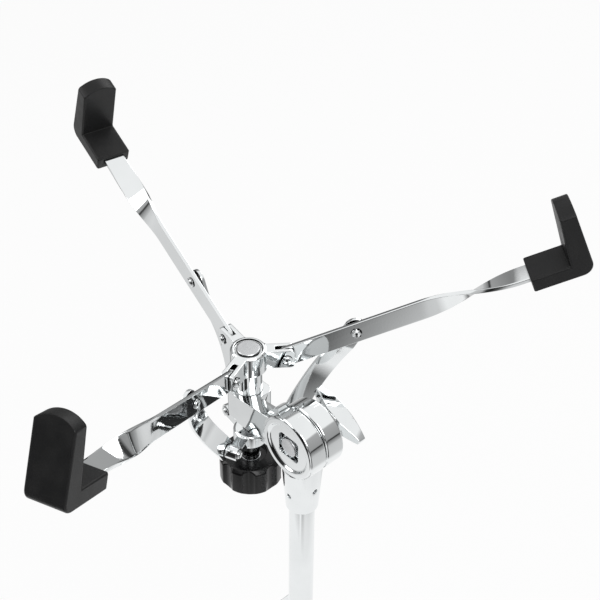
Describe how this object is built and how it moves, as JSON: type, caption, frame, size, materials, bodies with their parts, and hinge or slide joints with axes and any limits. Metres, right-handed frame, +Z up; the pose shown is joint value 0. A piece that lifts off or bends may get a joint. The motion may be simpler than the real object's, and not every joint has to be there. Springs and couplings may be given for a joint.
{
  "type": "snare drum stand",
  "caption": "Chromed snare drum stand: folding tripod, sliding mast, tilter with wing nut, and a basket of twisted arms with rubber grips closed by a hand knob.",
  "frame": {"origin": "on the floor, on the mast's axis", "axes": "+Z up along the mast, +Y along the tilter bolt towards its wing nut, -X towards the basket's post"},
  "size_m": [0.4942, 0.4797, 0.7055],
  "materials": {
    "chrome": "mirror chrome plate",
    "grip_rubber": "black moulded rubber",
    "foot_rubber": "black moulded rubber",
    "washer_plastic": "white nylon",
    "knob_plastic": "black satin plastic",
    "bush_plastic": "black nylon",
    "cap_steel": "satin plate",
    "plain_steel": "zinc-plated steel"
  },
  "bodies": {
    "base": {"base_tube": "chrome", "base_plug": "bush_plastic", "lower_collar": "chrome", "lower_pins": "chrome", "height_clamp": "chrome", "height_nut": "plain_steel"},
    "bush": {"clamp_bush": "bush_plastic"},
    "mast": {"mast_tube": "chrome", "tilter_socket": "chrome", "socket_pins": "plain_steel"},
    "basket": {"tilter_knuckle": "chrome", "tilter_bolt": "chrome", "post_tube": "chrome", "post_cap": "cap_steel", "post_rod": "plain_steel", "basket_hub": "chrome", "hub_pins": "chrome"},
    "tilter_wing": {"tilter_wing": "chrome"},
    "height_wing": {"height_wing": "chrome"},
    "slider": {"slider": "chrome", "slider_pins": "chrome"},
    "knob": {"knob": "knob_plastic", "knob_insert": "plain_steel"},
    "tripod_collar": {"tripod_collar": "chrome", "leg_pins": "chrome"},
    "tripod_wing": {"tripod_wing": "chrome"},
    "arm_1": {"arm_1": "chrome", "grip_1": "grip_rubber", "link_pin_1": "chrome", "spacer_1": "washer_plastic"},
    "link_1": {"link_1": "chrome"},
    "arm_2": {"arm_2": "chrome", "grip_2": "grip_rubber", "link_pin_2": "chrome", "spacer_2": "washer_plastic"},
    "link_2": {"link_2": "chrome"},
    "arm_3": {"arm_3": "chrome", "grip_3": "grip_rubber", "link_pin_3": "chrome", "spacer_3": "washer_plastic"},
    "link_3": {"link_3": "chrome"},
    "leg_1": {"leg_1": "chrome", "foot_1": "foot_rubber", "brace_pin_1": "chrome"},
    "brace_1": {"brace_1": "chrome"},
    "leg_2": {"leg_2": "chrome", "foot_2": "foot_rubber", "brace_pin_2": "chrome"},
    "brace_2": {"brace_2": "chrome"},
    "leg_3": {"leg_3": "chrome", "foot_3": "foot_rubber", "brace_pin_3": "chrome"},
    "brace_3": {"brace_3": "chrome"}
  },
  "joints": [
    {"name": "mast_swivel", "type": "hinge", "parent": "base", "child": "bush", "pos_m": [0, 0, 0.313], "axis": [0, 0, 1], "continuous": true},
    {"name": "height_slide", "type": "slide", "parent": "bush", "child": "mast", "axis": [0, 0, 1], "range_m": [-0.085, 0.06]},
    {"name": "basket_tilt", "type": "hinge", "parent": "mast", "child": "basket", "pos_m": [0, 0, 0.543], "axis": [0, 1, 0], "range_deg": [-12, 60]},
    {"name": "tilter_wing_turn", "type": "hinge", "parent": "basket", "child": "tilter_wing", "pos_m": [0, 0.02, 0.543], "axis": [0, 1, 0], "range_deg": [0, 360]},
    {"name": "height_wing_turn", "type": "hinge", "parent": "base", "child": "height_wing", "pos_m": [-0.02, 0.019, 0.308], "axis": [-1, 0, 0], "range_deg": [0, 360]},
    {"name": "slider_rise", "type": "slide", "parent": "basket", "child": "slider", "axis": [0, 0, 1], "range_m": [0, 0.0136]},
    {"name": "knob_turn", "type": "hinge", "parent": "slider", "child": "knob", "pos_m": [-0.0565, 0, 0.477], "axis": [0, 0, 1], "range_deg": [0, 1260]},
    {"name": "arm_1_swing", "type": "hinge", "parent": "basket", "child": "arm_1", "pos_m": [-0.03975, 0.02105, 0.5811], "axis": [0.7826, -0.6225, 0], "range_deg": [0, 25.8]},
    {"name": "link_1_swing", "type": "hinge", "parent": "slider", "child": "link_1", "pos_m": [-0.03994, 0.02082, 0.5111], "axis": [0.7826, -0.6225, 0], "range_deg": [0, 7.9]},
    {"name": "arm_2_swing", "type": "hinge", "parent": "basket", "child": "arm_2", "pos_m": [-0.0831, 0.00398, 0.5811], "axis": [0.1478, 0.989, 0], "range_deg": [0, 25.8]},
    {"name": "link_2_swing", "type": "hinge", "parent": "slider", "child": "link_2", "pos_m": [-0.08281, 0.00393, 0.5111], "axis": [0.1478, 0.989, 0], "range_deg": [0, 7.9]},
    {"name": "arm_3_swing", "type": "hinge", "parent": "basket", "child": "arm_3", "pos_m": [-0.04664, -0.02503, 0.5811], "axis": [-0.9304, -0.3665, 0], "range_deg": [0, 25.8]},
    {"name": "link_3_swing", "type": "hinge", "parent": "slider", "child": "link_3", "pos_m": [-0.04675, -0.02475, 0.5111], "axis": [-0.9304, -0.3665, 0], "range_deg": [0, 7.9]},
    {"name": "brace_1_fold", "type": "hinge", "parent": "base", "child": "brace_1", "pos_m": [0.02068, -0.01735, 0.05202], "axis": [-0.6428, -0.766, 0], "range_deg": [0, 47]},
    {"name": "leg_1_fold", "type": "hinge", "parent": "brace_1", "child": "leg_1", "pos_m": [0.0826, -0.06931, 0.10654], "axis": [-0.6428, -0.766, 0], "range_deg": [-94, 0]},
    {"name": "brace_2_fold", "type": "hinge", "parent": "base", "child": "brace_2", "pos_m": [0.00469, 0.02659, 0.05202], "axis": [0.9848, -0.1736, 0], "range_deg": [0, 47]},
    {"name": "leg_2_fold", "type": "hinge", "parent": "brace_2", "child": "leg_2", "pos_m": [0.01872, 0.10619, 0.10654], "axis": [0.9848, -0.1736, 0], "range_deg": [-94, 0]},
    {"name": "brace_3_fold", "type": "hinge", "parent": "base", "child": "brace_3", "pos_m": [-0.02537, -0.00924, 0.05202], "axis": [-0.342, 0.9397, 0], "range_deg": [0, 47]},
    {"name": "leg_3_fold", "type": "hinge", "parent": "brace_3", "child": "leg_3", "pos_m": [-0.10133, -0.03688, 0.10654], "axis": [-0.342, 0.9397, 0], "range_deg": [-94, 0]},
    {"name": "collar_rise", "type": "hinge", "parent": "leg_1", "child": "tripod_collar", "pos_m": [0.02068, -0.01735, 0.16106], "axis": [-0.6428, -0.766, 0], "range_deg": [0, 47]},
    {"name": "tripod_wing_turn", "type": "hinge", "parent": "tripod_collar", "child": "tripod_wing", "pos_m": [0.01767, 0.00643, 0.16106], "axis": [0.9397, 0.342, 0], "range_deg": [0, 360]}
  ],
  "couplings": [
    {"joint": "knob_turn", "follows": "slider_rise", "rad_per_m": 1570.8},
    {"joint": "arm_1_swing", "follows": "slider_rise", "rad_per_m": 32.317},
    {"joint": "link_1_swing", "follows": "slider_rise", "rad_per_m": 9.686},
    {"joint": "arm_2_swing", "follows": "slider_rise", "rad_per_m": 32.317},
    {"joint": "link_2_swing", "follows": "slider_rise", "rad_per_m": 9.686},
    {"joint": "arm_3_swing", "follows": "slider_rise", "rad_per_m": 32.317},
    {"joint": "link_3_swing", "follows": "slider_rise", "rad_per_m": 9.686},
    {"joint": "leg_1_fold", "follows": "brace_1_fold", "ratio": -2},
    {"joint": "brace_2_fold", "follows": "brace_1_fold", "ratio": 1},
    {"joint": "leg_2_fold", "follows": "brace_1_fold", "ratio": -2},
    {"joint": "brace_3_fold", "follows": "brace_1_fold", "ratio": 1},
    {"joint": "leg_3_fold", "follows": "brace_1_fold", "ratio": -2},
    {"joint": "collar_rise", "follows": "brace_1_fold", "ratio": 1}
  ]
}
